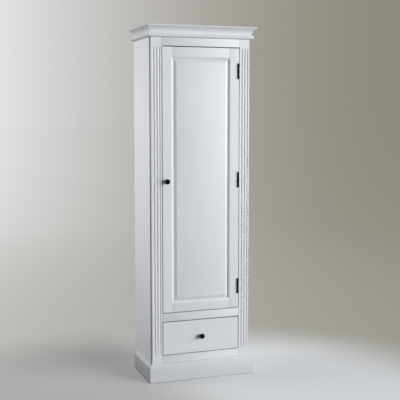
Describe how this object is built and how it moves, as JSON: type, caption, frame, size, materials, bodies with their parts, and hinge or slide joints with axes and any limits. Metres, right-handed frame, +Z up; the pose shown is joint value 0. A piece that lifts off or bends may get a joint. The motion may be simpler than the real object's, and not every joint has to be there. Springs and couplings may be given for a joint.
{
  "type": "wardrobe",
  "caption": "Tall narrow painted wardrobe with a panelled hinged door over a drawer, fluted pilasters, moulded cornice and chamfered plinth.",
  "frame": {"origin": "on the floor, under the centre of the overall box", "axes": "+Z up, -Y out of the front, +X to the right for someone who faces the front"},
  "size_m": [0.65, 0.38, 2],
  "materials": {
    "white_paint": "satin off-white paint on wood, cool in tone, with faint brush marks and softened edges",
    "bare_pine": "planed unpainted softwood",
    "plywood": "thin plywood with one coat of white paint",
    "black_iron": "black lacquered metal, half gloss",
    "zinc": "bright zinc plate",
    "catch_plastic": "pale moulded plastic"
  },
  "bodies": {
    "carcass": {"side_panel_left": "white_paint", "side_panel_right": "white_paint", "top_board": "white_paint", "bottom_board": "bare_pine", "divider_board": "white_paint", "back_panel": "plywood", "fixed_shelf": "white_paint", "shelf_lower": "white_paint", "shelf_upper": "white_paint", "shelf_lower_peg_left_front": "zinc", "shelf_lower_peg_left_rear": "zinc", "shelf_lower_peg_right_front": "zinc", "shelf_lower_peg_right_rear": "zinc", "shelf_upper_peg_left_front": "zinc", "shelf_upper_peg_left_rear": "zinc", "shelf_upper_peg_right_front": "zinc", "shelf_upper_peg_right_rear": "zinc", "pilaster_left": "white_paint", "pilaster_right": "white_paint", "frieze_rail": "white_paint", "mid_rail": "white_paint", "bottom_rail": "white_paint", "cornice_front": "white_paint", "cornice_left": "white_paint", "cornice_right": "white_paint", "plinth_front": "white_paint", "plinth_left": "white_paint", "plinth_right": "white_paint", "plinth_back": "white_paint", "plinth_block_left": "bare_pine", "plinth_block_right": "bare_pine", "drawer_runner_left": "bare_pine", "drawer_runner_right": "bare_pine", "drawer_kicker_left": "bare_pine", "drawer_kicker_right": "bare_pine", "hinge_lower_frame_leaf": "black_iron", "hinge_middle_frame_leaf": "black_iron", "hinge_upper_frame_leaf": "black_iron", "hinge_lower_pin": "black_iron", "hinge_middle_pin": "black_iron", "hinge_upper_pin": "black_iron", "magnet_catch": "catch_plastic"},
    "door": {"door_stile_left": "white_paint", "door_stile_right": "white_paint", "door_rail_top": "white_paint", "door_rail_bottom": "white_paint", "door_panel": "white_paint", "hinge_lower_door_leaf": "black_iron", "hinge_middle_door_leaf": "black_iron", "hinge_upper_door_leaf": "black_iron", "door_knob": "black_iron", "door_knob_screw": "zinc", "catch_plate": "zinc"},
    "drawer": {"drawer_front": "white_paint", "drawer_side_left": "bare_pine", "drawer_side_right": "bare_pine", "drawer_back": "bare_pine", "drawer_bottom": "plywood", "drawer_knob": "black_iron", "drawer_knob_screw": "zinc"}
  },
  "joints": [
    {"name": "door_hinge", "type": "hinge", "parent": "carcass", "child": "door", "pos_m": [0.2235, -0.1605, 1.13815], "axis": [0, 0, 1], "range_deg": [0, 170]},
    {"name": "drawer_slide", "type": "slide", "parent": "carcass", "child": "drawer", "axis": [0, -1, 0], "range_m": [0, 0.23]}
  ]
}
